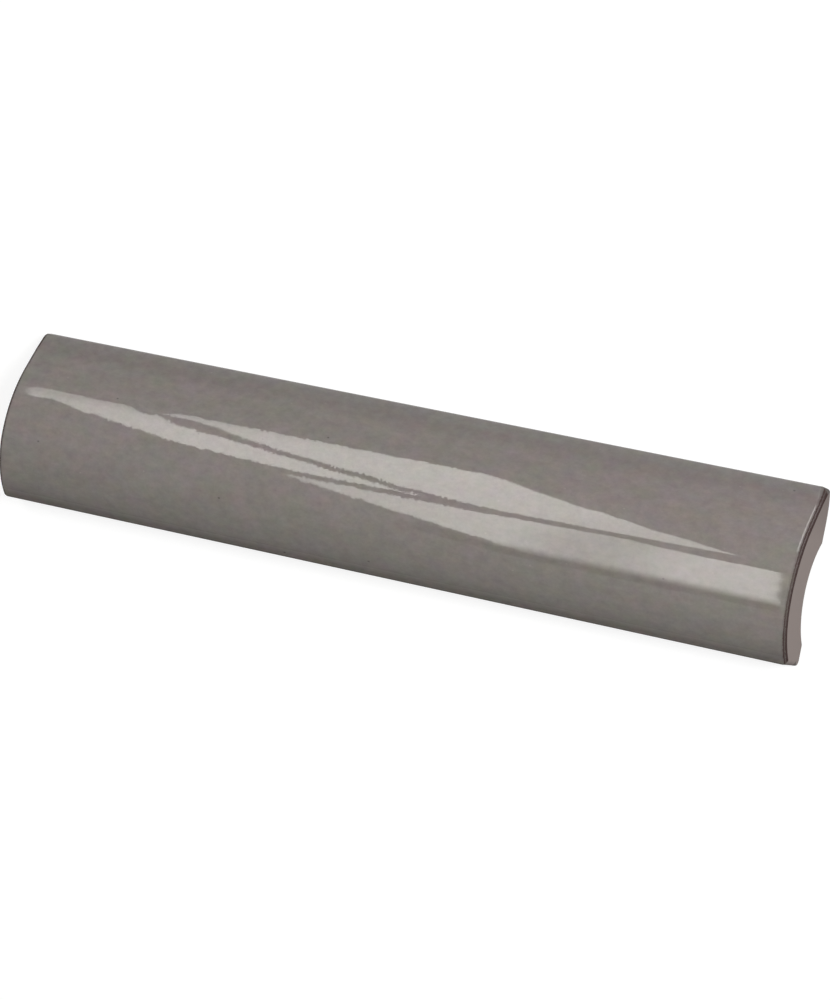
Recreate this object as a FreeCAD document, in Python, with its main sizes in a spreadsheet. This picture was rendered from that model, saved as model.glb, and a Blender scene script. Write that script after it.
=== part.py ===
import FreeCAD, Part

import math
import os

import Sketcher

# Glazed bullnose trim tile: one pressed and fired piece that caps a run of wall tiles.
# X runs along the tile, Y from the foot edge to the tip edge, and Z out of the wall.
# The two back lands lie at Z = 0, and the origin is midway between the ends and between the edges.

SIZES = [
    ("tile_length", 200.0, "along the wall, end to end"),
    ("tile_width", 40.0, "from the foot edge to the tip edge"),
    ("tile_height", 15.0, "from the back lands to the crest of the face"),
    ("crest_offset", 15.2, "from the foot edge to the crest"),
    ("crown_width", 16.0, "rounded part of the face, from the crest towards the tip"),
    ("foot_height", 8.0, "flat side that meets the wall tile below"),
    ("tip_height", 3.6, "from the back plane to the face at the tip edge"),
    ("tip_relief", 1.6, "how far the back lifts off the wall at the tip edge"),
    ("relief_width", 8.0, "part of the back that lifts, measured from the tip edge"),
    ("tip_land", 4.4, "flat land between the hollow and the part that lifts"),
    ("foot_land", 4.9, "flat land between the foot edge and the hollow"),
    ("hollow_depth", 5.2, "deepest point of the hollow along the back"),
    ("heel_radius", 1.4, "rounding of the foot's back edge"),
    ("back_radius", 0.5, "rounding of the hollow's lips and of the tip's back edge"),
    ("corner_radius", 1.5, "rounding of the four corners, seen from the front"),
    ("arris_radius", 1.2, "rounding all round the glazed face"),
]
DIE_MARGIN = 5.0
SAME = 1e-3
BAD_STATES = ("Invalid", "Error")
START, END, CENTRE = 1, 2, 3
ORIGIN = (-1, START)
ACROSS_AXIS = -1


# Document and sketch helpers

def make_sheet(doc):
    """Puts each driving size in column B of the sheet, under its own alias."""
    sheet = doc.addObject("Spreadsheet::Sheet", "sizes")
    for row, (alias, value, note) in enumerate(SIZES, start=1):
        sheet.set(f"A{row}", alias)
        sheet.set(f"B{row}", str(value))
        sheet.set(f"C{row}", note)
        sheet.setAlias(f"B{row}", alias)
    doc.recompute()
    return sheet


def new_sketch(body, name, plane_role):
    """Adds a sketch on one of the body's own origin planes."""
    sketch = body.newObject("Sketcher::SketchObject", name)
    plane = next(f for f in body.Origin.OriginFeatures if f.Role == plane_role)
    sketch.AttachmentSupport = [(plane, "")]
    sketch.MapMode = "FlatFace"
    return sketch


def constrain(sketch, kind, *args):
    """Adds a constraint, where each (edge, position) pair stands for a point."""
    flat = []
    for arg in args:
        flat.extend(arg if isinstance(arg, tuple) else (arg,))
    return sketch.addConstraint(Sketcher.Constraint(kind, *flat))


def dimension(sketch, kind, *args, name, formula):
    """Adds a named dimension and binds it to a formula of the sheet's sizes."""
    index = constrain(sketch, kind, *args)
    sketch.renameConstraint(index, name)
    sketch.setExpression(f"Constraints.{name}", formula)


def bulge(start, end, centre):
    """Arc from start to end about the centre, by the short way round."""
    middle = (start + end) * 0.5 - centre
    middle.normalize()
    return Part.Arc(start, centre + middle * (start - centre).Length, end)


def rise_radius(run, rise):
    """Radius of an arc that leaves its tangent line and rises off it within a run."""
    return (run**2 + rise**2) / (2 * rise)


# Section

def crown_turn(sizes):
    """Angle that the face turns through from the crest to the straight flank."""
    drop = sizes.tile_height - sizes.tip_height
    flank_width = sizes.tile_width - sizes.crest_offset - sizes.crown_width
    low, high = 0.0, math.radians(89)
    while high - low > 1e-12:
        turn = (low + high) / 2
        reached = sizes.crown_width * math.tan(turn / 2) + flank_width * math.tan(turn)
        if reached < drop:
            low = turn
        else:
            high = turn
    return turn


def draw_section(sketch, sizes):
    """Draws the tile's closed section in the YZ plane and binds its sizes."""
    foot, tip = -sizes.tile_width / 2, sizes.tile_width / 2
    hollow_width = sizes.tile_width - sizes.foot_land - sizes.tip_land - sizes.relief_width
    hollow_radius = rise_radius(hollow_width / 2, sizes.hollow_depth)
    relief_radius = rise_radius(sizes.relief_width, sizes.tip_relief)
    nose_radius = rise_radius(sizes.crest_offset, sizes.tile_height - sizes.foot_height)
    turn = crown_turn(sizes)
    crown_radius = sizes.crown_width / math.sin(turn)
    crown_drop = crown_radius * (1 - math.cos(turn))

    heel = FreeCAD.Vector(foot, 0)
    lip_one = FreeCAD.Vector(foot + sizes.foot_land, 0)
    lip_two = FreeCAD.Vector(lip_one.x + hollow_width, 0)
    hollow_top = FreeCAD.Vector(lip_one.x + hollow_width / 2, sizes.hollow_depth)
    relief_start = FreeCAD.Vector(tip - sizes.relief_width, 0)
    tip_back = FreeCAD.Vector(tip, sizes.tip_relief)
    tip_face = FreeCAD.Vector(tip, sizes.tip_height)
    crest = FreeCAD.Vector(foot + sizes.crest_offset, sizes.tile_height)
    crown_end = FreeCAD.Vector(crest.x + sizes.crown_width, crest.y - crown_drop)
    foot_face = FreeCAD.Vector(foot, sizes.foot_height)

    shapes = [
        Part.LineSegment(heel, lip_one),
        bulge(lip_two, lip_one, hollow_top - FreeCAD.Vector(0, hollow_radius)),
        Part.LineSegment(lip_two, relief_start),
        bulge(relief_start, tip_back, relief_start + FreeCAD.Vector(0, relief_radius)),
        Part.LineSegment(tip_back, tip_face),
        Part.LineSegment(tip_face, crown_end),
        bulge(crown_end, crest, crest - FreeCAD.Vector(0, crown_radius)),
        bulge(crest, foot_face, crest - FreeCAD.Vector(0, nose_radius)),
        Part.LineSegment(foot_face, heel),
    ]
    foot_land, hollow, tip_land, relief, tip_side, flank, crown, nose, foot_side = sketch.addGeometry(
        shapes, False
    )
    hollow_mark = sketch.addGeometry(Part.Point(hollow_top), True)

    joints = [
        ((foot_land, END), (hollow, END)),
        ((hollow, START), (tip_land, START)),
        ((tip_land, END), (relief, START)),
        ((relief, END), (tip_side, START)),
        ((tip_side, END), (flank, START)),
        ((crown, END), (nose, START)),
        ((nose, END), (foot_side, START)),
        ((foot_side, END), (foot_land, START)),
    ]
    for first, second in joints:
        constrain(sketch, "Coincident", first, second)
    for end in ((foot_land, START), (foot_land, END), (tip_land, START), (tip_land, END)):
        constrain(sketch, "PointOnObject", end, ACROSS_AXIS)
    for side in (foot_side, tip_side):
        constrain(sketch, "Vertical", side)
    constrain(sketch, "Vertical", (relief, CENTRE), (relief, START))
    constrain(sketch, "Vertical", (crown, CENTRE), (crown, END))
    constrain(sketch, "Vertical", (nose, CENTRE), (crown, END))
    constrain(sketch, "Tangent", (flank, END), (crown, START))
    constrain(sketch, "PointOnObject", (hollow_mark, START), hollow)
    constrain(sketch, "Vertical", (hollow_mark, START), (hollow, CENTRE))

    across = [
        ((foot_land, START), ORIGIN, "foot_side_y", "sizes.tile_width / 2"),
        (ORIGIN, (tip_side, START), "tip_side_y", "sizes.tile_width / 2"),
        ((foot_land, START), (foot_land, END), "foot_land", "sizes.foot_land"),
        ((tip_land, START), (tip_land, END), "tip_land", "sizes.tip_land"),
        ((relief, START), (relief, END), "relief_width", "sizes.relief_width"),
        ((foot_land, START), (crown, END), "crest_offset", "sizes.crest_offset"),
        ((crown, END), (crown, START), "crown_width", "sizes.crown_width"),
    ]
    upward = [
        ((hollow_mark, START), "hollow_depth", "sizes.hollow_depth"),
        ((tip_side, START), "tip_relief", "sizes.tip_relief"),
        ((tip_side, END), "tip_height", "sizes.tip_height"),
        ((crown, END), "tile_height", "sizes.tile_height"),
        ((nose, END), "foot_height", "sizes.foot_height"),
    ]
    for first, second, name, formula in across:
        run = sketch.getPoint(*second).x - sketch.getPoint(*first).x
        dimension(sketch, "DistanceX", first, second, run, name=name, formula=formula)
    for end, name, formula in upward:
        rise = sketch.getPoint(*end).y
        dimension(sketch, "DistanceY", ORIGIN, end, rise, name=name, formula=formula)


# Die outline

def draw_die(sketch, sizes):
    """Draws the ring outside the die's rounded outline in the XY plane and binds its sizes."""
    half_x, half_y = sizes.tile_length / 2, sizes.tile_width / 2
    radius = sizes.corner_radius
    turns = [(1, -1), (1, 1), (-1, 1), (-1, -1)]
    corners = []
    for sign_x, sign_y in turns:
        centre = FreeCAD.Vector(sign_x * (half_x - radius), sign_y * (half_y - radius))
        on_side = centre + FreeCAD.Vector(0, sign_y * radius)
        on_end = centre + FreeCAD.Vector(sign_x * radius, 0)
        first, last = (on_side, on_end) if sign_x * sign_y < 0 else (on_end, on_side)
        corners.append((first, centre, last))

    arcs = [sketch.addGeometry(bulge(first, last, centre), False) for first, centre, last in corners]
    for index, start_arc in enumerate(arcs):
        end_arc = arcs[(index + 1) % len(arcs)]
        start, end = corners[index][2], corners[(index + 1) % len(arcs)][0]
        line = sketch.addGeometry(Part.LineSegment(start, end), False)
        constrain(sketch, "Tangent", (start_arc, END), (line, START))
        constrain(sketch, "Tangent", (line, END), (end_arc, START))
        constrain(sketch, "Vertical" if index % 2 == 0 else "Horizontal", line)
    for arc in arcs[1:]:
        constrain(sketch, "Equal", arcs[0], arc)
    dimension(sketch, "Radius", arcs[0], radius, name="corner_radius", formula="sizes.corner_radius")

    first_arc, third_arc = arcs[0], arcs[2]
    constrain(sketch, "Symmetric", (first_arc, CENTRE), (third_arc, CENTRE), ORIGIN)
    run = 2 * (half_x - radius)
    rise = 2 * (half_y - radius)
    dimension(
        sketch, "DistanceX", (third_arc, CENTRE), (first_arc, CENTRE), run,
        name="centres_along", formula="sizes.tile_length - 2 * sizes.corner_radius",
    )
    dimension(
        sketch, "DistanceY", (first_arc, CENTRE), (third_arc, CENTRE), rise,
        name="centres_across", formula="sizes.tile_width - 2 * sizes.corner_radius",
    )
    draw_surround(sketch, half_x + DIE_MARGIN, half_y + DIE_MARGIN)


def draw_surround(sketch, half_x, half_y):
    """Adds the outer rectangle of the ring, clear of the tile by the margin."""
    corners = [
        FreeCAD.Vector(half_x, -half_y),
        FreeCAD.Vector(half_x, half_y),
        FreeCAD.Vector(-half_x, half_y),
        FreeCAD.Vector(-half_x, -half_y),
    ]
    sides = []
    for index, start in enumerate(corners):
        end = corners[(index + 1) % len(corners)]
        sides.append(sketch.addGeometry(Part.LineSegment(start, end), False))
    for index, side in enumerate(sides):
        constrain(sketch, "Coincident", (side, END), (sides[(index + 1) % len(sides)], START))
        constrain(sketch, "Vertical" if index % 2 == 0 else "Horizontal", side)
    constrain(sketch, "Symmetric", (sides[0], START), (sides[2], START), ORIGIN)
    dimension(
        sketch, "DistanceX", (sides[2], START), (sides[0], START), 2 * half_x,
        name="surround_along", formula=f"sizes.tile_length + 2 * {DIE_MARGIN}",
    )
    dimension(
        sketch, "DistanceY", (sides[0], START), (sides[2], START), 2 * half_y,
        name="surround_across", formula=f"sizes.tile_width + 2 * {DIE_MARGIN}",
    )


# Features

def long_edges(shape, places):
    """Names of the edges that run along X through the given (y, z) places."""
    names = []
    for y, z in places:
        for index, edge in enumerate(shape.Edges, start=1):
            ends = [vertex.Point for vertex in edge.Vertexes]
            on_place = all(abs(end.y - y) < SAME and abs(end.z - z) < SAME for end in ends)
            if on_place and len(ends) == 2:
                names.append(f"Edge{index}")
    if len(names) != len(places):
        raise RuntimeError(f"expected {len(places)} edges along X, found {names}")
    return names


def face_rim(shape):
    """Names of the edges all round the glazed face, the only faces that look out of the wall."""
    looking_out = []
    for face in shape.Faces:
        low_u, high_u, low_v, high_v = face.ParameterRange
        if face.normalAt((low_u + high_u) / 2, (low_v + high_v) / 2).z > SAME:
            looking_out.append(face)
    names = []
    for index, edge in enumerate(shape.Edges, start=1):
        sharing = [face for face in looking_out if any(edge.isSame(other) for other in face.Edges)]
        if len(sharing) == 1:
            names.append(f"Edge{index}")
    return names


def add_fillet(body, name, base, edge_names, size_name):
    """Rounds the named edges of the base feature by a size of the sheet."""
    fillet = body.newObject("PartDesign::Fillet", name)
    fillet.Base = (base, edge_names)
    fillet.setExpression("Radius", f"sizes.{size_name}")
    body.Document.recompute()
    return fillet


def build_tile(doc, sizes):
    """Presses the section along X, rounds the back, trims to the die and rounds the face."""
    body = doc.addObject("PartDesign::Body", "bullnose_tile")
    body.Label = "bullnose_tile"

    section = new_sketch(body, "section", "YZ_Plane")
    draw_section(section, sizes)
    blank = body.newObject("PartDesign::Pad", "blank")
    blank.Profile = section
    blank.SideType = "Symmetric"
    blank.setExpression("Length", f"sizes.tile_length + {DIE_MARGIN}")
    doc.recompute()

    foot, tip = -sizes.tile_width / 2, sizes.tile_width / 2
    lip_one = foot + sizes.foot_land
    lip_two = tip - sizes.relief_width - sizes.tip_land
    heel = add_fillet(body, "heel", blank, long_edges(blank.Shape, [(foot, 0)]), "heel_radius")
    back_places = [(lip_one, 0), (lip_two, 0), (tip, sizes.tip_relief)]
    back = add_fillet(body, "back_edges", heel, long_edges(heel.Shape, back_places), "back_radius")

    die = new_sketch(body, "die", "XY_Plane")
    draw_die(die, sizes)
    trim = body.newObject("PartDesign::Pocket", "trim")
    trim.Profile = die
    trim.Type = "ThroughAll"
    trim.Reversed = True
    doc.recompute()
    if trim.Shape.Volume > back.Shape.Volume - SAME:
        raise RuntimeError("the die outline trims nothing")

    add_fillet(body, "face_arris", trim, face_rim(trim.Shape), "arris_radius")
    return body


def check(doc, bodies):
    """Raises if any object failed or any body isn't one sound solid."""
    failed = [item.Name for item in doc.Objects if any(state in item.State for state in BAD_STATES)]
    if failed:
        raise RuntimeError(f"failed objects: {failed}")
    for body in bodies:
        if body.Shape.isNull() or not body.Shape.isValid() or len(body.Shape.Solids) != 1:
            raise RuntimeError(f"{body.Label} is not one valid solid")


def main():
    doc = FreeCAD.newDocument("bullnose_tile")
    sizes = make_sheet(doc)
    tile = build_tile(doc, sizes)
    doc.recompute()
    check(doc, [tile])
    os.makedirs("parts", exist_ok=True)
    tile.Shape.exportStep(f"parts/{tile.Label}.step")
    box = tile.Shape.optimalBoundingBox()
    print(f"{tile.Label}: {box.XLength:.3f} x {box.YLength:.3f} x {box.ZLength:.3f} mm")
    print(f"volume {tile.Shape.Volume / 1000:.2f} cm3, {len(tile.Shape.Faces)} faces")


main()
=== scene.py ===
import math

import bmesh
import bpy
from bpy.props import FloatProperty, FloatVectorProperty, PointerProperty
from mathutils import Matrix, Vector


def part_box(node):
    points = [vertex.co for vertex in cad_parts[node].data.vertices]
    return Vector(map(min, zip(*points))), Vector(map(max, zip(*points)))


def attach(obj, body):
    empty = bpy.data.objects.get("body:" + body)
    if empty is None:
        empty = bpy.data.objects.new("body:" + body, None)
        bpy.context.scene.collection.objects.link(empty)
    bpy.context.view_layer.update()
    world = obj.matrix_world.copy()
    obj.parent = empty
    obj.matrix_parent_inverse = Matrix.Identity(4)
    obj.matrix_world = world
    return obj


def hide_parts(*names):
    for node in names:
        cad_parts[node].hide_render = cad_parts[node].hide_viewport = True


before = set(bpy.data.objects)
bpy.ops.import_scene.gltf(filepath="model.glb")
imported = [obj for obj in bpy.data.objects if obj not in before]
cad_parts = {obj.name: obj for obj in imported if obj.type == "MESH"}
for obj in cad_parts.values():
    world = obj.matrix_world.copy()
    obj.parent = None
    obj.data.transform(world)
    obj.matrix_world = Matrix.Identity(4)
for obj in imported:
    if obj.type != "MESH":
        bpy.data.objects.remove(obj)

bl_info = {
    "name": "Bullnose Tile",
    "version": (1, 0, 0),
    "blender": (4, 5, 0),
    "location": "View3D > Sidebar > Tile",
    "description": "Models and glazes a bullnose trim tile and sets it on a plain stage",
    "category": "Object",
}

MM = 0.001
LOWEST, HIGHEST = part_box("bullnose_tile")


# Sizes and colours

def linear(hex_colour):
    """Turns an sRGB hex colour into the linear values that Blender works in."""
    channels = [int(hex_colour[start:start + 2], 16) / 255 for start in (0, 2, 4)]
    return tuple(
        value / 12.92 if value <= 0.04045 else ((value + 0.055) / 1.055) ** 2.4
        for value in channels
    )


def size(name, default, description):
    """A length in millimetres that a user may change, kept in metres."""
    return FloatProperty(
        name=name, default=default * MM, unit="LENGTH", precision=4, description=description
    )


def colour(name, hex_colour, description):
    """A colour that a user may change."""
    return FloatVectorProperty(
        name=name, subtype="COLOR", size=3, default=linear(hex_colour), description=description
    )


def amount(name, default, description, **settings):
    """Any other number that a user may change."""
    return FloatProperty(name=name, default=default, description=description, **settings)


class TileSizes(bpy.types.PropertyGroup):
    """Sizes of the pressed tile, the same as the solid's"""

    crest_offset: size("Crest offset", 15.2, "From the foot edge to the crest")
    crown_width: size("Crown width", 16.0, "Rounded part of the face, from the crest towards the tip")
    foot_height: size("Foot height", 8.0, "Flat side that meets the wall tile")
    tip_height: size("Tip height", 3.6, "From the back plane to the face at the tip edge")
    tip_relief: size("Tip relief", 1.6, "How far the back lifts off the wall at the tip edge")
    relief_width: size("Relief width", 8.0, "Part of the back that lifts")
    tip_land: size("Tip land", 4.4, "Flat land between the hollow and the relief")
    foot_land: size("Foot land", 4.9, "Flat land between the foot edge and the hollow")
    hollow_depth: size("Hollow depth", 5.2, "Deepest point of the hollow")
    heel_radius: size("Heel radius", 1.4, "Rounding of the foot's back edge")
    back_radius: size("Back radius", 0.5, "Rounding of the hollow's lips and the tip's back edge")
    edge_radius: size("Edge radius", 1.25, "Rounding of the two long edges of the face")
    arris_radius: size("Arris radius", 1.2, "Rounding of both ends of the face")
    corner_radius: size("Corner radius", 1.5, "Rounding of the foot side's upright corners")
    fettle_radius: size("Fettle radius", 0.3, "Rounding of both ends at the back")
    tip_pull: size("Tip pull", 0.55, "How far the tip edge draws back at its corners")
    tip_reach: size("Tip reach", 2.2, "Length over which the tip edge draws back")
    step: size("Step", 0.5, "Length of a mesh segment round the section")
    ring_step: size("Ring step", 1.0, "Distance between mesh rings along the tile")
    waviness: size("Waviness", 0.02, "Depth of the shallow waves that the glaze flowed into")
    wave_length: size("Wave length", 11.0, "Distance between those waves")


class GlazeColours(bpy.types.PropertyGroup):
    """Colours of the glaze and of the fired body under it"""

    warm: colour("Warm", "807775", "Mauve patches where the glaze lies thin")
    green: colour("Green", "7B7771", "Greenish patches where the glaze lies thick")
    # Rim: a cooler, slightly lighter colour mixed in along the tip edge.
    rim: colour("Rim", "7F7A77", "Cooler glaze that ran to the tip edge")
    brown: colour("Brown", "453937", "Glaze that broke over the arrises of the ends")
    dry: colour("Dry", "8E8480", "Thin, dry glaze on the sides and ends")
    body: colour("Body", "C9BBA6", "Fired clay of the bare back")


class StageSettings(bpy.types.PropertyGroup):
    """Camera and light"""

    lens: amount("Lens", 148.2, "Focal length in millimetres", min=1.0)
    key_power: amount("Key power", 16.05, "Large soft lamp, in watts")
    fill_power: amount("Fill power", 1.5, "Low lamp at the right end, in watts")
    left_power: amount("Left power", 3.5, "Low lamp at the left end, in watts")
    pane_strength: amount("Pane strength", 6.4, "Bright window panes")
    room_glow: amount("Room glow", 0.56, "Pale room that the gloss mirrors")
    sky_strength: amount("Sky strength", 0.056, "Even light all round")
    floor_size: amount("Floor size", 4.0, "Side of the floor", unit="LENGTH")


# Mesh helpers

def start_piece(name, location):
    """Adds a mesh whose only vertex is at the location, and leaves it selected in edit mode."""
    bpy.ops.object.select_all(action="DESELECT")
    bpy.ops.mesh.primitive_plane_add(size=MM, location=location)
    piece = bpy.context.object
    piece.name = name
    piece.data.name = name
    bpy.ops.object.mode_set(mode="EDIT")
    bpy.ops.mesh.select_all(action="SELECT")
    bpy.ops.mesh.merge(type="CENTER")
    bpy.ops.mesh.select_mode(type="VERT")
    return piece


def finish_piece():
    """Leaves edit mode and puts the piece's place in its mesh."""
    bpy.ops.object.mode_set(mode="OBJECT")
    bpy.ops.object.transform_apply(location=True, rotation=True, scale=True)


def select(piece, kind, wanted):
    """Selects in edit mode the edges or the faces for which wanted is true."""
    bpy.ops.mesh.select_mode(type=kind)
    bpy.ops.mesh.select_all(action="DESELECT")
    mesh = bmesh.from_edit_mesh(piece.data)
    for item in mesh.faces if kind == "FACE" else mesh.edges:
        item.select_set(wanted(item))
    bmesh.update_edit_mesh(piece.data)


def merge_points(distance):
    """Makes one of all points of the mesh in edit mode that lie nearer than the distance."""
    bpy.ops.mesh.select_all(action="SELECT")
    bpy.ops.mesh.remove_doubles(threshold=distance)


def apply_modifier(piece, kind, **settings):
    """Adds a modifier with these settings and applies it."""
    bpy.ops.object.modifier_add(type=kind)
    modifier = piece.modifiers[-1]
    for name, value in settings.items():
        setattr(modifier, name, value)
    bpy.ops.object.modifier_apply(modifier=modifier.name)


def weigh_vertices(piece, name, weight):
    """Adds a vertex group that holds what weight gives for each vertex, where that is above 0."""
    group = piece.vertex_groups.new(name=name)
    for vertex in piece.data.vertices:
        value = weight(vertex)
        if value > 0:
            group.add([vertex.index], value, "REPLACE")
    return group.name


def progress(value, start, end):
    """How far the value has come from start to end, between 0 and 1."""
    return min(1.0, max(0.0, (value - start) / (end - start)))


class SectionPen:
    """Draws the section in edit mode from the selected vertex, in the plane of one end."""

    def __init__(self, x, start, step):
        self.x = x
        self.place = Vector(start)
        self.step = step

    def line_to(self, y, z, steps=None):
        """Draws a straight run, in segments about as long as the pen's step or in so many steps."""
        run = Vector((y, z)) - self.place
        steps = steps or max(1, round(run.length / self.step))
        for _ in range(steps):
            bpy.ops.mesh.extrude_region_move(
                TRANSFORM_OT_translate={"value": (0, run.x / steps, run.y / steps)}
            )
        self.place = Vector((y, z))

    def arc(self, centre, angle, fewest=5):
        """Turns about the centre, clockwise seen from the right end where the angle is negative."""
        arm = self.place - Vector(centre)
        steps = max(fewest, round(abs(angle) * arm.length / self.step))
        bpy.ops.mesh.spin(
            steps=steps, angle=-angle, center=(self.x, *centre), axis=(1, 0, 0)
        )
        turned = Vector((
            arm.x * math.cos(angle) - arm.y * math.sin(angle),
            arm.x * math.sin(angle) + arm.y * math.cos(angle),
        ))
        self.place = Vector(centre) + turned


# Tile

SECTION_MERGE = 0.01 * MM
ROUNDING_MERGE = 0.005 * MM
EDGE_STEPS = 8  # segments of each long edge's rounding, which are finer than the pen's step
LAND_STEPS = 4  # segments of each flat land, which needs no more
ROUNDING_STEPS = 10  # segments of the rounding of the ends
FLAT_END = 0.9999  # a normal leans so far along the tile only on the flat of an end
UPRIGHT = 0.02  # a normal's Z stays below this only on the foot side and the tip edge


def rise_radius(run, rise):
    """Radius of an arc that leaves its tangent line and rises off it within a run."""
    return (run**2 + rise**2) / (2 * rise)


def crown_turn(sizes, drop, flank_width):
    """Angle that the face turns through from the crest to the straight flank, found by halving."""
    low, high, halvings = 0.0, math.radians(89), 50
    for _ in range(halvings):
        turn = (low + high) / 2
        reached = sizes.crown_width * math.tan(turn / 2) + flank_width * math.tan(turn)
        if reached < drop:
            low = turn
        else:
            high = turn
    return turn


def draw_flank(pen, sizes, crest):
    """Draws the face from the crest to the tip: the crown, the straight flank and the tip edge."""
    tip, height, edge = HIGHEST.y, HIGHEST.z, sizes.edge_radius
    flank_width = tip - crest - sizes.crown_width
    turn = crown_turn(sizes, height - sizes.tip_height, flank_width)
    crown_radius = sizes.crown_width / math.sin(turn)
    pen.arc((crest, height - crown_radius), -turn)
    edge_run = edge * math.tan((math.pi / 2 - turn) / 2)
    edge_start = Vector((tip, sizes.tip_height)) + edge_run * Vector((-math.cos(turn), math.sin(turn)))
    pen.line_to(*edge_start)
    pen.arc((tip - edge, sizes.tip_height - edge_run), turn - math.pi / 2, fewest=EDGE_STEPS)


def draw_relief(pen, sizes, relief_start):
    """Draws the tip edge down to its back, and the back as it comes down to the tip's land."""
    tip, back = HIGHEST.y, sizes.back_radius
    relief_radius = rise_radius(sizes.relief_width, sizes.tip_relief)
    reach = tip - back - relief_start
    back_height = relief_radius - math.sqrt((relief_radius - back) ** 2 - reach**2)
    relief_turn = math.asin(reach / (relief_radius - back))
    pen.line_to(tip, back_height)
    pen.arc((tip - back, back_height), relief_turn - math.pi / 2)
    pen.arc((relief_start, relief_radius), -relief_turn)


def draw_hollow(pen, sizes, relief_start):
    """Draws the tip's land, the hollow between its two rounded lips, the foot's land and the heel."""
    foot, back, heel = LOWEST.y, sizes.back_radius, sizes.heel_radius
    foot_lip = foot + sizes.foot_land
    tip_lip = relief_start - sizes.tip_land
    hollow_middle = (foot_lip + tip_lip) / 2
    hollow_radius = rise_radius((tip_lip - foot_lip) / 2, sizes.hollow_depth)
    hollow_centre = Vector((hollow_middle, sizes.hollow_depth - hollow_radius))
    lip_turn = math.acos((back - hollow_centre.y) / (hollow_radius + back))
    lip_reach = (hollow_radius + back) * math.sin(lip_turn)
    pen.line_to(hollow_middle + lip_reach, 0, steps=LAND_STEPS)
    pen.arc((hollow_middle + lip_reach, back), -lip_turn)
    pen.arc(hollow_centre, 2 * lip_turn)
    pen.arc((hollow_middle - lip_reach, back), -lip_turn)
    pen.line_to(foot + heel, 0, steps=LAND_STEPS)
    pen.arc((foot + heel, heel), -math.pi / 2, fewest=EDGE_STEPS)


def draw_nose(pen, sizes, crest):
    """Draws the foot side, the foot edge and the nose, back up to the crest."""
    foot, height, edge = LOWEST.y, HIGHEST.z, sizes.edge_radius
    nose_radius = rise_radius(sizes.crest_offset, height - sizes.foot_height)
    nose_centre = Vector((crest, height - nose_radius))
    nose_turn = math.asin((crest - foot - edge) / (nose_radius - edge))
    edge_height = nose_centre.y + (nose_radius - edge) * math.cos(nose_turn)
    pen.line_to(foot, edge_height)
    pen.arc((foot + edge, edge_height), nose_turn - math.pi / 2, fewest=EDGE_STEPS)
    pen.arc(nose_centre, -nose_turn)


def draw_section(sizes, crest):
    """Draws the tile's section at its left end, clockwise from the crest, as a closed loop."""
    pen = SectionPen(LOWEST.x, (crest, HIGHEST.z), sizes.step)
    relief_start = HIGHEST.y - sizes.relief_width
    draw_flank(pen, sizes, crest)
    draw_relief(pen, sizes, relief_start)
    draw_hollow(pen, sizes, relief_start)
    draw_nose(pen, sizes, crest)
    merge_points(SECTION_MERGE)


def draw_length(sizes):
    """Draws the section out along X as a tube of rings, with room at both ends for the rounding."""
    room = 1.25  # times the widest rounding
    margin = room * sizes.corner_radius
    length = HIGHEST.x - LOWEST.x - 2 * margin
    rings = round(length / sizes.ring_step)
    bpy.ops.mesh.extrude_region_move(TRANSFORM_OT_translate={"value": (margin, 0, 0)})
    bpy.ops.mesh.extrude_repeat(steps=rings, offset=(length / rings, 0, 0))
    bpy.ops.mesh.extrude_region_move(TRANSFORM_OT_translate={"value": (margin, 0, 0)})


def close_ends(piece):
    """Fills both ends of the tube and turns every face outwards."""
    for end in (LOWEST.x, HIGHEST.x):
        place = end - piece.location.x
        select(
            piece, "EDGE",
            lambda edge: all(abs(vertex.co.x - place) < SECTION_MERGE for vertex in edge.verts),
        )
        bpy.ops.mesh.edge_face_add()
    bpy.ops.mesh.select_all(action="SELECT")
    bpy.ops.mesh.normals_make_consistent(inside=False)


def rim_edges(mesh):
    """Edges round both flat ends, each with the normal of the long face beside it."""
    rims = []
    for edge in mesh.edges:
        sides = [face.normal for face in edge.link_faces if abs(face.normal.x) < FLAT_END]
        if len(sides) == 1:
            rims.append((edge, sides[0]))
    return rims


def side_width(edge, heights, sizes):
    """Width of the rounding beside an upright side, which opens down from the face and up from the back."""
    from_face, from_back = 0.2, 4.0
    middle = (edge.verts[0].co.z + edge.verts[1].co.z) / 2
    below_face = max(0.0, max(heights) - middle - sizes.step)
    above_back = max(0.0, middle - min(heights) - sizes.step)
    return min(
        sizes.arris_radius + from_face * below_face,
        sizes.fettle_radius + from_back * above_back,
        sizes.corner_radius,
    )


def round_ends(piece, sizes):
    """Rounds the rim of both ends: the arris over the face, wider down the foot, narrow at the back."""
    mesh = bmesh.from_edit_mesh(piece.data)
    weight = mesh.edges.layers.float.new("bevel_weight_edge")
    rims = rim_edges(mesh)
    foot_heights, tip_heights = [], []
    for edge, normal in rims:
        if abs(normal.z) < UPRIGHT:
            heights = tip_heights if normal.y > 0 else foot_heights
            heights.extend(vertex.co.z for vertex in edge.verts)
    for edge, normal in rims:
        if normal.z > UPRIGHT:
            width = sizes.arris_radius
        elif normal.z < -UPRIGHT:
            width = sizes.fettle_radius
        else:
            width = side_width(edge, tip_heights if normal.y > 0 else foot_heights, sizes)
        edge[weight] = width / sizes.corner_radius
    bmesh.update_edit_mesh(piece.data)
    bpy.ops.object.mode_set(mode="OBJECT")
    apply_modifier(
        piece, "BEVEL", limit_method="WEIGHT", width=sizes.corner_radius, segments=ROUNDING_STEPS,
        use_clamp_overlap=False,
    )
    bpy.ops.object.mode_set(mode="EDIT")
    merge_points(ROUNDING_MERGE)


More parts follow.
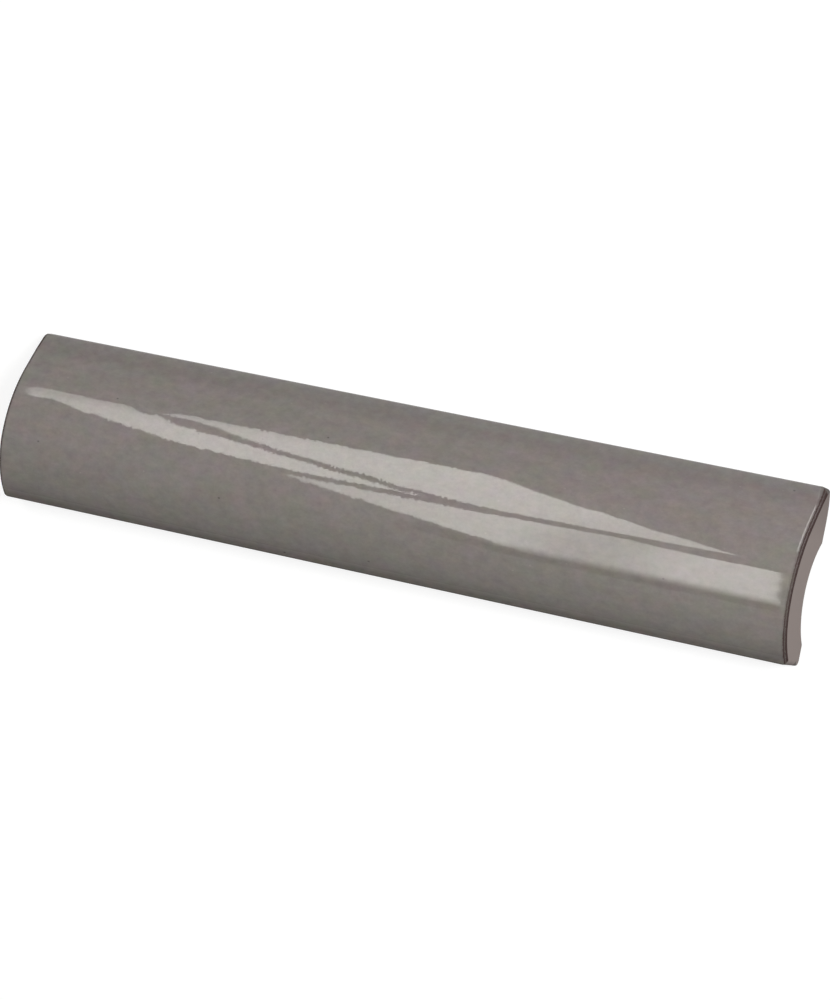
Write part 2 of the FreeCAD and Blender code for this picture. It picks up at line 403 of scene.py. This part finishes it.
def mark_end_rims(piece):
    """Marks the rims of both flat ends sharp, so that they shade flat."""
    def on_rim(edge):
        return sum(abs(face.normal.x) > FLAT_END for face in edge.link_faces) == 1

    select(piece, "EDGE", on_rim)
    bpy.ops.mesh.mark_sharp()


def bare_back(piece):
    """Gives the piece's second material to its back, but not to the roundings of the ends."""
    least_down, most_sideways = 0.05, 0.1
    select(
        piece, "FACE",
        lambda face: face.normal.z < -least_down and abs(face.normal.x) < most_sideways,
    )
    piece.active_material_index = 1
    bpy.ops.object.material_slot_assign()


def draw_back_tip(piece, sizes):
    """Draws the tip edge back at its two corners, which are softer in plan than the foot's."""
    starts, full = 0.80, 0.97  # shares of the way from the middle to the tip edge

    def nearness(vertex):
        inside = HIGHEST.x - abs(vertex.co.x)
        towards_tip = progress(vertex.co.y / HIGHEST.y, starts, full)
        return progress(inside, sizes.tip_reach, 0.0) ** 2 * towards_tip

    corners = weigh_vertices(piece, "tip_corners", nearness)
    apply_modifier(
        piece, "DISPLACE", direction="Y", vertex_group=corners, mid_level=0.0, strength=-sizes.tip_pull
    )


def ripple_face(piece, sizes):
    """Lets the glazed face sink in shallow waves, as glaze does that flowed before it set."""
    calm, waved = 3 * MM, 28 * MM  # from an end to where the waves begin, and to where they are full
    lowest = 0.2 * HIGHEST.z

    def share(vertex):
        if vertex.co.z <= lowest:
            return 0.0
        return progress(HIGHEST.x - abs(vertex.co.x), calm, waved) * vertex.normal.z

    face = weigh_vertices(piece, "face", share)
    clouds = bpy.data.textures.new("glaze_waves", "CLOUDS")
    clouds.noise_scale = sizes.wave_length
    apply_modifier(
        piece, "DISPLACE", texture=clouds, texture_coords="LOCAL", vertex_group=face, mid_level=1.0,
        strength=sizes.waviness,
    )


class TILE_OT_body(bpy.types.Operator):
    """Models the pressed and glazed tile, and leaves its back bare"""

    bl_idname = "tile.body"
    bl_label = "Tile"

    def execute(self, context):
        sizes = context.scene.tile_sizes
        crest = LOWEST.y + sizes.crest_offset
        tile = start_piece("glazed_tile", (LOWEST.x, crest, HIGHEST.z))
        draw_section(sizes, crest)
        draw_length(sizes)
        close_ends(tile)
        round_ends(tile, sizes)
        mark_end_rims(tile)
        tile.data.materials.append(glaze_material())
        tile.data.materials.append(body_material())
        bare_back(tile)
        finish_piece()
        draw_back_tip(tile, sizes)
        ripple_face(tile, sizes)
        bpy.ops.object.shade_smooth_by_angle(angle=math.radians(25))
        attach(tile, "root")
        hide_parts("bullnose_tile")
        return {"FINISHED"}


# Materials

STREAK = 0.7  # the mottle is longer along the tile than across it by the inverse of this


def new_material(name):
    """Makes a material with an empty node tree."""
    material = bpy.data.materials.new(name)
    material.use_nodes = True
    material.node_tree.nodes.clear()
    return material, material.node_tree


def add_node(tree, kind, inputs=None, **settings):
    """Adds a node, sets its properties and fills its inputs.

    An input gets a value, or a link from an output, or from a node's first output that is in use.
    """
    node = tree.nodes.new(kind)
    for name, value in settings.items():
        setattr(node, name, value)
    for socket, value in (inputs or {}).items():
        if isinstance(value, bpy.types.Node):
            value = next(output for output in value.outputs if output.enabled)
        if isinstance(value, bpy.types.NodeSocket):
            tree.links.new(value, node.inputs[socket])
        else:
            node.inputs[socket].default_value = value
    return node


def set_ramp(node, stops):
    """Gives a colour ramp grey stops at the positions."""
    ramp = node.color_ramp
    while len(ramp.elements) < len(stops):
        ramp.elements.new(0.5)
    for element, (position, value) in zip(ramp.elements, stops):
        element.position = position
        element.color = (value, value, value, 1)


def per(millimetres):
    """Noise scale that gives a pattern of this size."""
    return 1 / (millimetres * MM)


def glaze_material():
    """Glossy stoneware glaze, sprayed on and fired: warm grey, mottled, brown where it breaks."""
    colours = bpy.context.scene.glaze_colours
    material, tree = new_material("mottled_stoneware_glaze")
    coordinates = add_node(tree, "ShaderNodeTexCoord").outputs
    place, normal = coordinates["Object"], coordinates["Normal"]
    spot = add_node(tree, "ShaderNodeSeparateXYZ", {"Vector": place}).outputs
    facing = add_node(tree, "ShaderNodeSeparateXYZ", {"Vector": normal}).outputs
    sideways = add_node(tree, "ShaderNodeMath", {0: facing["X"]}, operation="ABSOLUTE")
    level = face_level(tree, facing)
    broken = broken_edge(tree, place, spot, facing, sideways)

    mottled = mottled_colour(tree, place, spot, colours)
    # Painted shade: the nose and arris ramps darken the mottled colour.
    painted_shade_factor = painted_nose_and_arris_shade(tree, level, sideways)
    shaded = add_node(tree, "ShaderNodeVectorMath", {0: mottled, "Scale": painted_shade_factor}, operation="SCALE")
    upright = add_node(tree, "ShaderNodeMapRange", {"Value": level, "From Min": 0.20, "From Max": 0.05})
    with_sides = add_node(
        tree, "ShaderNodeMix", {"Factor": upright, "A": shaded, "B": dry_colour(tree, spot, colours)},
        data_type="RGBA",
    )
    with_arris = add_node(
        tree, "ShaderNodeMix", {"Factor": broken, "A": with_sides, "B": (*colours.brown, 1)},
        data_type="RGBA",
    )

    steep = add_node(tree, "ShaderNodeMapRange", {"Value": level, "From Min": 0.78, "From Max": 0.68})
    bare = add_node(
        tree, "ShaderNodeMath", {0: broken, 1: tip_corner(tree, spot, sideways)}, operation="MAXIMUM"
    )
    dryness = add_node(tree, "ShaderNodeMath", {0: steep, 1: bare}, operation="MAXIMUM")
    roughness = add_node(tree, "ShaderNodeMapRange", {"Value": dryness, "To Min": 0.03, "To Max": 0.7})
    gloss = add_node(tree, "ShaderNodeMapRange", {"Value": dryness, "To Min": 0.5, "To Max": 0.0})
    shader = add_node(
        tree, "ShaderNodeBsdfPrincipled",
        {"Base Color": with_arris, "Roughness": roughness, "IOR": 1.52, "Specular IOR Level": gloss,
         "Normal": rippled_normal(tree, place, spot, normal)},
    )
    add_node(tree, "ShaderNodeOutputMaterial", {"Surface": shader})
    return material


def face_level(tree, facing):
    """How level the surface is: 0 on the ends and the foot side, 1 at the crest, more on the flank."""
    tip_weight = 0.8  # how far a lean towards the tip makes up for the height that it loses
    towards_tip = add_node(tree, "ShaderNodeMath", {0: facing["Y"], 1: 0.0}, operation="MAXIMUM")
    return add_node(
        tree, "ShaderNodeMath", {0: towards_tip, 1: tip_weight, 2: facing["Z"]},
        operation="MULTIPLY_ADD",
    )


def painted_nose_and_arris_shade(tree, level, sideways):
    """Painted shade: darkens the glaze colour low on the nose, which turns from the light, and over the
    arrises of the ends, which catch more lamp light.
    """
    nose = add_node(tree, "ShaderNodeValToRGB", {"Fac": level})
    set_ramp(nose, [(0.66, 1.0), (0.70, 0.88), (0.74, 0.87), (0.80, 0.95), (0.86, 1.0)])
    arris = add_node(tree, "ShaderNodeValToRGB", {"Fac": sideways})
    set_ramp(arris, [(0.02, 1.0), (0.20, 0.84), (0.42, 0.70)])
    return add_node(tree, "ShaderNodeMath", {0: nose, 1: arris}, operation="MULTIPLY")


def dry_colour(tree, spot, colours):
    """Dry coat of the sides and ends, darker towards the tip."""
    dimmer = add_node(
        tree, "ShaderNodeMapRange",
        {"Value": spot["Y"], "From Min": 0.40 * HIGHEST.y, "From Max": 0.85 * HIGHEST.y,
         "To Min": 1.0, "To Max": 0.80},
    )
    return add_node(tree, "ShaderNodeVectorMath", {0: colours.dry, "Scale": dimmer}, operation="SCALE")


def tip_corner(tree, spot, sideways):
    """Share of thin, dull glaze on the rounding of the ends beside the tip edge."""
    at_end = add_node(tree, "ShaderNodeMapRange", {"Value": sideways, "From Min": 0.04, "From Max": 0.14})
    at_tip = add_node(
        tree, "ShaderNodeMapRange",
        {"Value": spot["Y"], "From Min": HIGHEST.y - 5.0 * MM, "From Max": HIGHEST.y - 3.6 * MM},
    )
    return add_node(tree, "ShaderNodeMath", {0: at_end, 1: at_tip}, operation="MULTIPLY")


def rippled_normal(tree, place, spot, normal):
    """Fine ripple of the glaze, which leans the normal to the foot or the tip, and less at the ends."""
    squeeze = 0.4  # the ripple is longer across the tile than along it by the inverse of this
    across = add_node(tree, "ShaderNodeMapping", {"Vector": place, "Scale": (1, squeeze, 1)})
    ripple = add_node(
        tree, "ShaderNodeTexNoise",
        {"Vector": across, "Scale": per(0.55), "Detail": 1.0, "Roughness": 0.5},
    )
    along = add_node(
        tree, "ShaderNodeMapRange", {"Value": spot["X"], "From Min": LOWEST.x, "From Max": HIGHEST.x}
    )
    steepness = add_node(tree, "ShaderNodeValToRGB", {"Fac": along})
    set_ramp(steepness, [(0.03, 0.03), (0.10, 0.055), (0.55, 0.06), (0.70, 0.03), (0.95, 0.015)])
    centred = add_node(tree, "ShaderNodeMath", {0: ripple, 1: 0.5}, operation="SUBTRACT")
    lean = add_node(tree, "ShaderNodeMath", {0: centred, 1: steepness}, operation="MULTIPLY")
    to_side = add_node(tree, "ShaderNodeCombineXYZ", {"Y": lean})
    leaning = add_node(tree, "ShaderNodeVectorMath", {0: normal, 1: to_side}, operation="ADD")
    return add_node(
        tree, "ShaderNodeVectorTransform", {"Vector": leaning},
        vector_type="NORMAL", convert_from="OBJECT", convert_to="WORLD",
    )


def mottled_colour(tree, place, spot, colours):
    """Mauve and greenish patches with a slight tint of their own, a grain, pinholes, light flecks that are
    painted glints, and a painted shade before the tip edge.
    """
    streaked = add_node(tree, "ShaderNodeMapping", {"Vector": place, "Scale": (STREAK, 1, 1)})
    tints = add_node(
        tree, "ShaderNodeTexNoise",
        {"Vector": streaked, "Scale": per(3.5), "Detail": 2.0, "Roughness": 0.6},
    )
    tint = add_node(
        tree, "ShaderNodeMapRange",
        {"Vector": tints.outputs["Color"], "From Min": (0.3, 0.3, 0.3), "From Max": (0.7, 0.7, 0.7),
         "To Min": (0.97, 0.96, 0.95), "To Max": (1.03, 1.04, 1.05)},
        data_type="FLOAT_VECTOR",
    )
    patches = patch_colour(tree, streaked, spot, colours)
    tinted = add_node(tree, "ShaderNodeVectorMath", {0: patches, 1: tint}, operation="MULTIPLY")
    # Grain and pinholes, with painted glints and a painted shade before the tip edge.
    shade = grain_glints_and_tip_shade(tree, streaked, spot)
    return add_node(tree, "ShaderNodeVectorMath", {0: tinted, "Scale": shade}, operation="SCALE")


def patch_colour(tree, streaked, spot, colours):
    """Broad patches of glaze.

    They are greener towards the foot, where the glaze lies thicker, mauver at the right of the flank, and
    cooler at the tip edge.
    """
    broad = add_node(
        tree, "ShaderNodeTexNoise",
        {"Vector": streaked, "Scale": per(5.5), "Detail": 3.0, "Roughness": 0.6},
    )
    off_foot = add_node(
        tree, "ShaderNodeMapRange",
        {"Value": spot["Y"], "From Min": 0.65 * LOWEST.y, "From Max": 0.30 * LOWEST.y,
         "To Min": -0.10, "To Max": 0.0},
    )
    to_right = add_node(
        tree, "ShaderNodeMapRange",
        {"Value": spot["X"], "From Min": 0.1 * HIGHEST.x, "From Max": 0.9 * HIGHEST.x,
         "To Min": 0.0, "To Max": 0.17},
    )
    on_flank = add_node(
        tree, "ShaderNodeMapRange", {"Value": spot["Y"], "From Min": 0.0, "From Max": 0.4 * HIGHEST.y}
    )
    drift = add_node(
        tree, "ShaderNodeMath", {0: to_right, 1: on_flank, 2: off_foot}, operation="MULTIPLY_ADD"
    )
    drifted = add_node(tree, "ShaderNodeMath", {0: broad, 1: drift}, operation="ADD")
    hue = add_node(tree, "ShaderNodeMapRange", {"Value": drifted, "From Min": 0.35, "From Max": 0.65})
    patches = add_node(
        tree, "ShaderNodeMix", {"Factor": hue, "A": (*colours.green, 1), "B": (*colours.warm, 1)},
        data_type="RGBA",
    )
    near_tip = add_node(
        tree, "ShaderNodeMapRange",
        {"Value": spot["Y"], "From Min": HIGHEST.y - 2.8 * MM, "From Max": HIGHEST.y - 1.6 * MM},
    )
    return add_node(
        tree, "ShaderNodeMix", {"Factor": near_tip, "A": patches, "B": (*colours.rim, 1)},
        data_type="RGBA",
    )


def grain_glints_and_tip_shade(tree, streaked, spot):
    """Light and dark of the grain and pinholes, light flecks that are painted glints, and a painted shade
    in a band before the tip edge.
    """
    grain = add_node(
        tree, "ShaderNodeTexNoise",
        {"Vector": streaked, "Scale": per(1.9), "Detail": 4.0, "Roughness": 0.75},
    )
    shade = add_node(
        tree, "ShaderNodeMapRange",
        {"Value": grain, "From Min": 0.3, "From Max": 0.7, "To Min": 0.88, "To Max": 1.12},
    )
    last_part = add_node(
        tree, "ShaderNodeMapRange",
        {"Value": spot["Y"], "From Min": HIGHEST.y - 8 * MM, "From Max": HIGHEST.y},
    )
    # Painted shade: darkens the flank in a band before the tip edge.
    painted_tip_shade = add_node(tree, "ShaderNodeValToRGB", {"Fac": last_part})
    set_ramp(painted_tip_shade, [(0.25, 1.0), (0.62, 0.88), (0.84, 0.88), (0.95, 0.95)])
    holes = specks(tree, streaked, spacing=6.3, radius=0.28, share=0.55)
    # Painted glints: the light flecks brighten the colour where tiny bumps of the glaze would glint.
    flecks = specks(tree, streaked, spacing=4.5, radius=0.22, share=1.18)
    grain_with_tip_shade = add_node(tree, "ShaderNodeMath", {0: shade, 1: painted_tip_shade}, operation="MULTIPLY")
    pinholes_and_painted_glints = add_node(tree, "ShaderNodeMath", {0: holes, 1: flecks}, operation="MULTIPLY")
    return add_node(tree, "ShaderNodeMath", {0: grain_with_tip_shade, 1: pinholes_and_painted_glints}, operation="MULTIPLY")


def specks(tree, place, spacing, radius, share):
    """Sparse specks, sizes in millimetres, that change the colour to the given share."""
    cells = add_node(
        tree, "ShaderNodeTexVoronoi", {"Vector": place, "Scale": per(spacing), "Randomness": 1.0}
    )
    return add_node(
        tree, "ShaderNodeMapRange",
        {"Value": cells.outputs["Distance"], "From Min": 0.5 * radius / spacing,
         "From Max": radius / spacing, "To Min": share, "To Max": 1.0},
    )


def broken_edge(tree, place, spot, facing, sideways):
    """Where the glaze broke over the end arrises: two dark lines, only on the roundings of the face."""
    steepest = 0.6  # a rounding belongs to the face while its normal's Z is over this much of its Y
    line_end = 3 * MM  # height above the back at which the lines stop
    slope = add_node(tree, "ShaderNodeMath", {0: facing["Y"]}, operation="ABSOLUTE")
    rise = add_node(
        tree, "ShaderNodeMath", {0: slope, 1: -steepest, 2: facing["Z"]}, operation="MULTIPLY_ADD"
    )
    on_rounding = add_node(tree, "ShaderNodeMath", {0: sideways, 1: FLAT_END}, operation="LESS_THAN")
    on_face = add_node(tree, "ShaderNodeMath", {0: rise, 1: 0.0}, operation="GREATER_THAN")
    above_back = add_node(tree, "ShaderNodeMath", {0: spot["Z"], 1: line_end}, operation="GREATER_THAN")
    broken = arris_lines(tree, place, facing, sideways, slope)
    for condition in (on_rounding, on_face, above_back):
        broken = add_node(tree, "ShaderNodeMath", {0: broken, 1: condition}, operation="MULTIPLY")
    return broken


def arris_lines(tree, place, facing, sideways, slope):
    """Two ragged lines along each arris, the inner one fainter, and both wider at the left end."""
    widening = 1.6
    flecks = add_node(
        tree, "ShaderNodeTexNoise", {"Vector": place, "Scale": per(0.5), "Detail": 2.0, "Roughness": 0.7}
    )
    wander = add_node(tree, "ShaderNodeMapRange", {"Value": flecks, "To Min": -0.2, "To Max": 0.2})
    leftwards = add_node(tree, "ShaderNodeMath", {0: facing["X"], 1: -widening}, operation="MULTIPLY")
    tilt = add_node(tree, "ShaderNodeMath", {0: leftwards, 1: sideways}, operation="MAXIMUM")
    ragged = add_node(tree, "ShaderNodeMath", {0: tilt, 1: wander}, operation="ADD")
    inner = add_node(tree, "ShaderNodeValToRGB", {"Fac": ragged})
    set_ramp(inner, [(0.42, 0.0), (0.52, 1.0), (0.64, 1.0), (0.74, 0.4)])
    outer = add_node(tree, "ShaderNodeValToRGB", {"Fac": ragged})
    set_ramp(outer, [(0.72, 0.0), (0.86, 1.0)])
    worn = add_node(
        tree, "ShaderNodeMapRange", {"Value": slope, "From Min": 0.12, "From Max": 0.28, "To Min": 0.8}
    )
    faint = add_node(tree, "ShaderNodeMath", {0: inner, 1: worn}, operation="MULTIPLY")
    return add_node(tree, "ShaderNodeMath", {0: faint, 1: outer}, operation="MAXIMUM")


def body_material():
    """Fired clay as it left the press: pale, matt and slightly sandy.

    Its real grit is under 0.2 mm and wouldn't show, so the grain is drawn coarser.
    """
    colours = bpy.context.scene.glaze_colours
    material, tree = new_material("bare_fired_clay")
    place = add_node(tree, "ShaderNodeTexCoord").outputs["Object"]
    grain = add_node(
        tree, "ShaderNodeTexNoise", {"Vector": place, "Scale": per(0.5), "Detail": 5.0, "Roughness": 0.7}
    )
    shade = add_node(
        tree, "ShaderNodeMapRange",
        {"Value": grain, "From Min": 0.3, "From Max": 0.7, "To Min": 0.88, "To Max": 1.06},
    )
    tone = add_node(tree, "ShaderNodeVectorMath", {0: colours.body, "Scale": shade}, operation="SCALE")
    bump = add_node(
        tree, "ShaderNodeBump",
        {"Height": grain.outputs["Fac"], "Distance": 0.08 * MM, "Strength": 1.0},
    )
    shader = add_node(
        tree, "ShaderNodeBsdfPrincipled", {"Base Color": tone, "Roughness": 0.9, "Normal": bump}
    )
    add_node(tree, "ShaderNodeOutputMaterial", {"Surface": shader})
    return material


# Stage

# Where the photograph was taken from, in metres, and how the camera is turned, in degrees
CAMERA_PLACE = (0.37916, 0.02424, 0.86846)
CAMERA_TURN = (3.277, 23.315, 12.103)

# Corners in metres of the bright panes, which lie level over the tile. Their images in the glaze have the
# places that the bright reflections have in the photograph.
PANE_HEIGHT = 1.0
PANES = {
    "pane_left": [
        (-0.94, 1.185), (-0.90, 1.068), (-0.79, 0.785), (-0.80, 0.85), (-0.652, 0.54), (-0.60, 0.415),
        (-0.52, 0.331), (-0.447, 0.359), (-0.64, 0.722), (-0.705, 0.822), (-0.78, 0.99), (-0.87, 1.165),
    ],
    "pane_right": [
        (-0.87, 1.275), (-0.675, 1.38), (-0.535, 1.045), (-0.288, 0.468), (-0.325, 0.44),
        (-0.405, 0.38), (-0.465, 0.45), (-0.645, 0.792), (-0.70, 0.915), (-0.755, 1.03), (-0.80, 1.115),
        (-0.815, 1.085),
    ],
    "pane_front": [
        (-0.505, 0.236), (-0.492, 0.25), (-0.45, 0.26), (-0.41, 0.275), (-0.33, 0.345),
        (-0.29, 0.315), (-0.247, 0.322), (-0.235, 0.20), (-0.228, 0.03), (-0.232, -0.19), (-0.242, -0.37),
        (-0.365, -0.37), (-0.388, -0.17), (-0.416, -0.035), (-0.43, 0.01), (-0.46, 0.112), (-0.485, 0.17),
    ],
    "pane_side": [
        (-0.20, 0.85), (-0.36, 1.60), (-0.51, 2.90), (0.50, 2.90), (0.45, 1.56), (0.30, 0.80),
    ],
}
SILL = [(-0.235, -0.31), (-0.38, -0.31), (-0.415, -0.12), (-0.44, -0.30), (-0.40, -0.47), (-0.25, -0.45)]
SILL_FADE = (-0.36, -0.12)  # Y where a pane is still dark, and where it is fully bright

# Shares of the panes' full light, each at its X in metres
DAYLIGHT = [(-0.87, 0.56), (-0.79, 0.75), (-0.69, 0.91), (-0.60, 0.95), (-0.42, 0.92), (-0.33, 0.77)]
FRONT_DAYLIGHT = [
    (-0.49, 0.70), (-0.45, 0.82), (-0.375, 0.93), (-0.335, 0.60), (-0.318, 0.64), (-0.30, 0.72),
    (-0.283, 0.92),
]


def floor_material():
    """Matt pale floor that a camera or a reflection sees as white, with the shadow kept."""
    nearly_white = 0.85  # the light of the lamps adds the rest, except in the shadow
    material, tree = new_material("matt_pale_floor")
    rays = add_node(tree, "ShaderNodeLightPath").outputs
    mirrored = add_node(
        tree, "ShaderNodeMath", {0: rays["Is Camera Ray"], 1: rays["Is Glossy Ray"]}, operation="MAXIMUM"
    )
    seen = add_node(
        tree, "ShaderNodeMath", {0: mirrored, 1: rays["Is Transmission Ray"]}, operation="MAXIMUM"
    )
    strength = add_node(tree, "ShaderNodeMath", {0: seen, 1: nearly_white}, operation="MULTIPLY")
    glow = add_node(tree, "ShaderNodeEmission", {"Strength": strength})
    matt = add_node(tree, "ShaderNodeBsdfDiffuse", {"Color": (0.2, 0.2, 0.2, 1)})
    both = add_node(tree, "ShaderNodeAddShader", {0: glow, 1: matt})
    add_node(tree, "ShaderNodeOutputMaterial", {"Surface": both})
    return material


def pane_material(name, strength, shares):
    """Slightly warm light of a window pane, uneven from side to side and softer at the sill."""
    material, tree = new_material(name)
    place = add_node(tree, "ShaderNodeTexCoord").outputs["Object"]
    spot = add_node(tree, "ShaderNodeSeparateXYZ", {"Vector": place}).outputs
    left, right = -1.0, 0.0  # ends of the ramp in metres
    sideways = add_node(
        tree, "ShaderNodeMapRange", {"Value": spot["X"], "From Min": left, "From Max": right}
    )
    daylight = add_node(tree, "ShaderNodeValToRGB", {"Fac": sideways})
    set_ramp(daylight, [((x - left) / (right - left), share) for x, share in shares])
    dark, bright = SILL_FADE
    fade = add_node(
        tree, "ShaderNodeMapRange",
        {"Value": spot["Y"], "From Min": dark, "From Max": bright, "To Max": strength},
        interpolation_type="SMOOTHSTEP",
    )
    light = add_node(tree, "ShaderNodeMath", {0: daylight, 1: fade}, operation="MULTIPLY")
    glow = add_node(tree, "ShaderNodeEmission", {"Color": (1, 0.99, 0.94, 1), "Strength": light})
    add_node(tree, "ShaderNodeOutputMaterial", {"Surface": glow})
    return material


def sill_material():
    """Black sill under the front pane, which the glaze mirrors as a dark band."""
    material, tree = new_material("dark_sill")
    black = add_node(tree, "ShaderNodeBsdfDiffuse", {"Color": (0, 0, 0, 1)})
    add_node(tree, "ShaderNodeOutputMaterial", {"Surface": black})
    return material


def add_floor(side):
    """Adds the square floor that the tile lies on."""
    bpy.ops.object.select_all(action="DESELECT")
    bpy.ops.mesh.primitive_plane_add(size=side)
    floor = bpy.context.object
    floor.name = "floor"
    floor.data.materials.append(floor_material())


def add_pane(name, corners, material, lights):
    """Adds a flat pane over the tile, hidden from the camera, that lights it or is only mirrored."""
    bpy.ops.object.select_all(action="DESELECT")
    bpy.ops.mesh.primitive_circle_add(vertices=len(corners), fill_type="NGON")
    pane = bpy.context.object
    pane.name = name
    for vertex, (x, y) in zip(pane.data.vertices, corners):
        vertex.co = (x, y, PANE_HEIGHT)
    pane.data.materials.append(material)
    pane.visible_camera = False
    pane.visible_diffuse = lights


def add_lamp(name, place, side, power):
    """Adds a square area lamp that faces the tile."""
    place = Vector(place)
    bpy.ops.object.light_add(type="AREA", location=place)
    lamp = bpy.context.object
    lamp.name = name
    lamp.rotation_euler = place.to_track_quat("Z", "Y").to_euler()
    lamp.data.shape = "SQUARE"
    lamp.data.size = side
    lamp.data.energy = power
    lamp.visible_glossy = False


def add_camera(lens):
    """Adds the camera at the photograph's viewing angle."""
    bpy.ops.object.camera_add(
        location=CAMERA_PLACE, rotation=[math.radians(angle) for angle in CAMERA_TURN]
    )
    camera = bpy.context.object
    camera.data.lens = lens
    bpy.context.scene.camera = camera


def set_world(strength, room_glow):
    """Even, weak light all round, a paler room for what the gloss mirrors, and white behind."""
    world = bpy.context.scene.world or bpy.data.worlds.new("world")
    bpy.context.scene.world = world
    world.use_nodes = True
    tree = world.node_tree
    tree.nodes.clear()
    rays = add_node(tree, "ShaderNodeLightPath").outputs
    mirrored = add_node(
        tree, "ShaderNodeMath",
        {0: rays["Is Glossy Ray"], 1: rays["Is Transmission Ray"]}, operation="MAXIMUM",
    )
    light = add_node(
        tree, "ShaderNodeMapRange", {"Value": mirrored, "To Min": strength, "To Max": room_glow}
    )
    behind = add_node(
        tree, "ShaderNodeMapRange", {"Value": rays["Is Camera Ray"], "To Min": light, "To Max": 1.0}
    )
    sky = add_node(tree, "ShaderNodeBackground", {"Color": (1, 1, 1, 1), "Strength": behind})
    add_node(tree, "ShaderNodeOutputWorld", {"Surface": sky})


class TILE_OT_stage(bpy.types.Operator):
    """Adds the floor, the window panes, the lamps, the sky and the camera"""

    bl_idname = "tile.stage"
    bl_label = "Stage"

    def execute(self, context):
        settings = context.scene.stage_settings
        add_floor(settings.floor_size)
        panes = pane_material("bright_panes", settings.pane_strength, DAYLIGHT)
        front = pane_material("front_pane", settings.pane_strength, FRONT_DAYLIGHT)
        for name, corners in PANES.items():
            material = front if name == "pane_front" else panes
            add_pane(name, corners, material, lights=name != "pane_side")
        add_pane("sill", SILL, sill_material(), lights=True)
        add_lamp("soft_key", place=(0.95, 0.22, 0.95), side=0.4, power=settings.key_power)
        add_lamp("end_fill", place=(0.90, 0.0, 0.35), side=0.4, power=settings.fill_power)
        add_lamp("left_fill", place=(-0.95, 0.0, 0.05), side=0.08, power=settings.left_power)
        set_world(settings.sky_strength, settings.room_glow)
        add_camera(settings.lens)
        context.scene.view_settings.view_transform = "Standard"
        return {"FINISHED"}


class TILE_PT_panel(bpy.types.Panel):
    """Lists the steps that build the tile and its stage"""

    bl_label = "Bullnose Tile"
    bl_idname = "TILE_PT_panel"
    bl_space_type = "VIEW_3D"
    bl_region_type = "UI"
    bl_category = "Tile"

    def draw(self, context):
        scene = context.scene
        for step in (TILE_OT_body, TILE_OT_stage):
            self.layout.operator(step.bl_idname)
        for group in (scene.tile_sizes, scene.glaze_colours, scene.stage_settings):
            for name in group.__annotations__:
                self.layout.prop(group, name)


CLASSES = (TileSizes, GlazeColours, StageSettings, TILE_OT_body, TILE_OT_stage, TILE_PT_panel)


def register():
    """Registers the classes and gives the scene their settings."""
    for item in CLASSES:
        bpy.utils.register_class(item)
    bpy.types.Scene.tile_sizes = PointerProperty(type=TileSizes)
    bpy.types.Scene.glaze_colours = PointerProperty(type=GlazeColours)
    bpy.types.Scene.stage_settings = PointerProperty(type=StageSettings)


def unregister():
    """Takes the settings and the classes away again."""
    del bpy.types.Scene.stage_settings
    del bpy.types.Scene.glaze_colours
    del bpy.types.Scene.tile_sizes
    for item in reversed(CLASSES):
        bpy.utils.unregister_class(item)


def main():
    """Builds the tile and its stage."""
    register()
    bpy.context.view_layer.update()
    bpy.ops.tile.body()
    bpy.ops.tile.stage()


if __name__ == "__main__":
    main()
